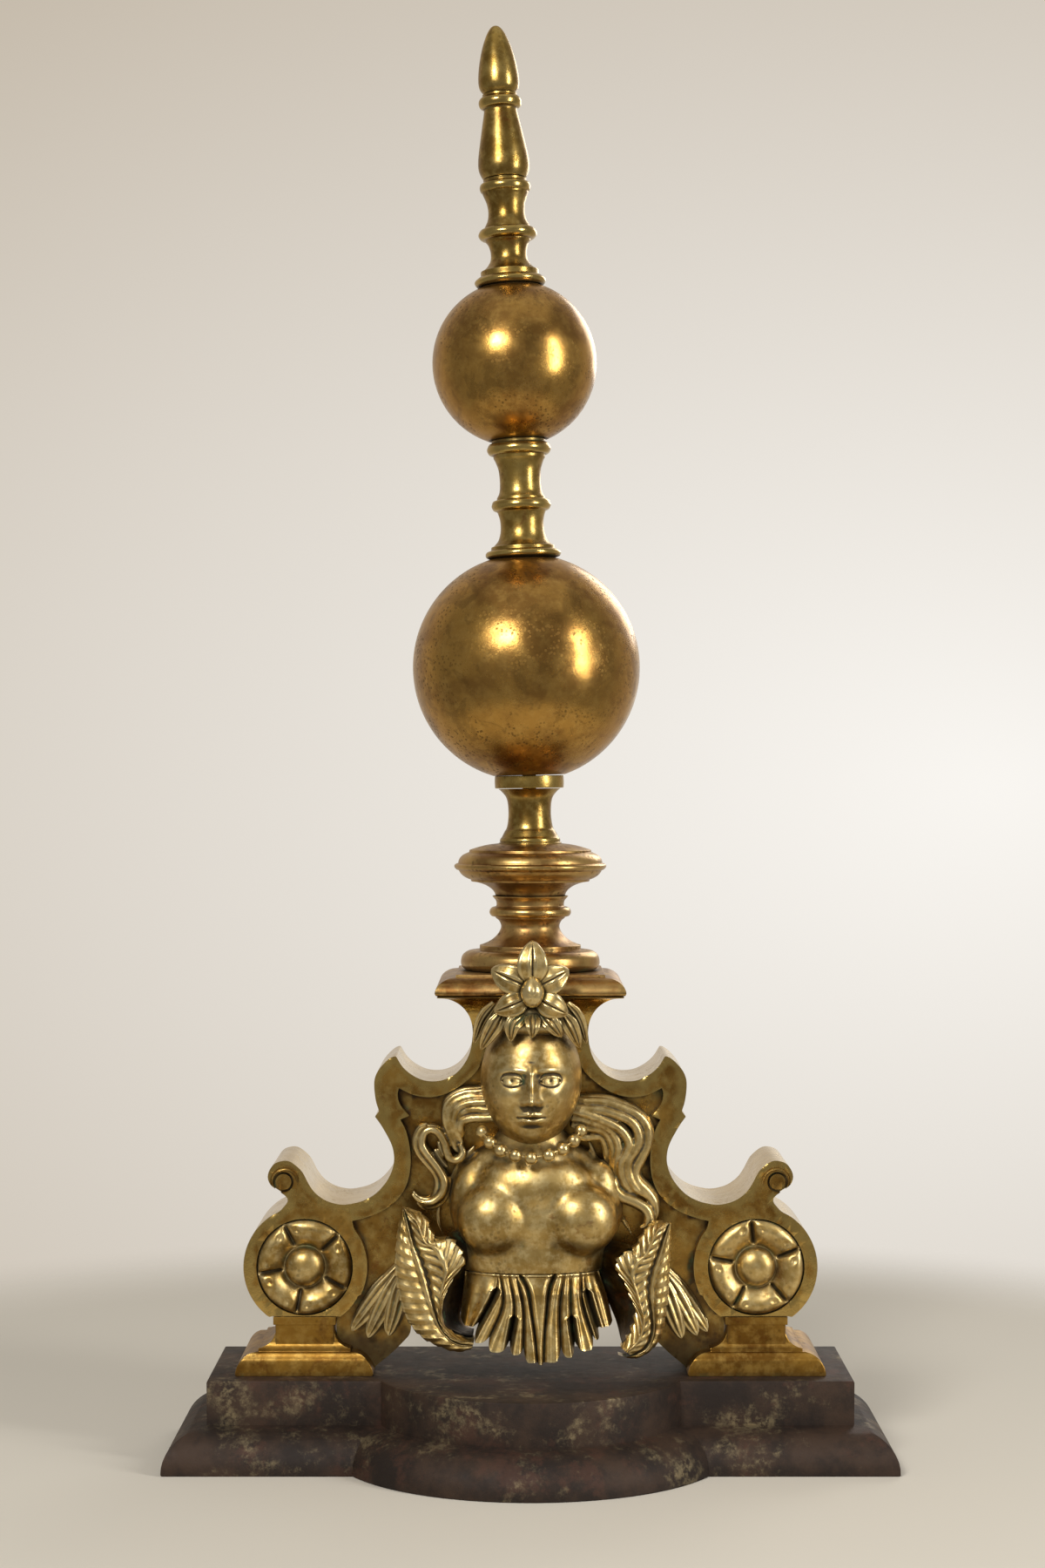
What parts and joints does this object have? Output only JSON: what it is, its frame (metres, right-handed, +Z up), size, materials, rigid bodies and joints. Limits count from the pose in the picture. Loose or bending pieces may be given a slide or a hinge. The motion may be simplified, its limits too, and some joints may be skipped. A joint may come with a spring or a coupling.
{
  "type": "andiron",
  "caption": "Andiron with a brass front of scrolls and a figure in relief, a tall stack of turnings and balls, an iron plinth and a log bar behind.",
  "frame": {"origin": "middle of the bounding box in plan, on the floor", "axes": "+Z up, -Y the decorated front, +Y towards the fire back, +X the right-hand side seen from the front"},
  "size_m": [0.419, 0.6044, 0.8405],
  "materials": {
    "body_brass": "satin, cast and rubbed, patinated",
    "ball_brass": "polished once, now speckled brown patina",
    "figure_brass": "chased and rubbed bright on the high spots",
    "iron": "rusted and rubbed",
    "wrought_iron": "forged, dull"
  },
  "bodies": {
    "frame": {"plinth": "iron", "foot_left": "body_brass", "foot_right": "body_brass", "body": "body_brass", "rosette_left": "figure_brass", "rosette_right": "figure_brass", "foot_bolt_left": "wrought_iron", "foot_bolt_right": "wrought_iron", "foot_nut_left": "wrought_iron", "foot_nut_right": "wrought_iron", "cap": "body_brass", "socle": "body_brass", "knop": "body_brass", "neck": "body_brass", "collar": "body_brass", "ball_large": "ball_brass", "baluster": "body_brass", "ball_small": "ball_brass", "spool": "body_brass", "vase": "body_brass", "rod": "wrought_iron", "rod_washer": "wrought_iron", "rod_nut": "wrought_iron", "head": "figure_brass", "torso": "figure_brass", "necklace": "figure_brass", "hair_left": "figure_brass", "hair_right": "figure_brass", "headdress_leaves": "figure_brass", "headdress_flower": "figure_brass", "apron": "figure_brass", "leaf_left": "figure_brass", "leaf_right": "figure_brass", "spray_left": "figure_brass", "spray_right": "figure_brass", "log_bar": "iron", "bar_nut": "wrought_iron", "rear_leg": "iron"},
    "finial": {"finial": "body_brass"}
  },
  "joints": [
    {"name": "finial_screw", "type": "hinge", "parent": "frame", "child": "finial", "pos_m": [-0.01823, -0.16775, 0.8001], "axis": [-0.061, 0, 0.9981], "continuous": true}
  ]
}
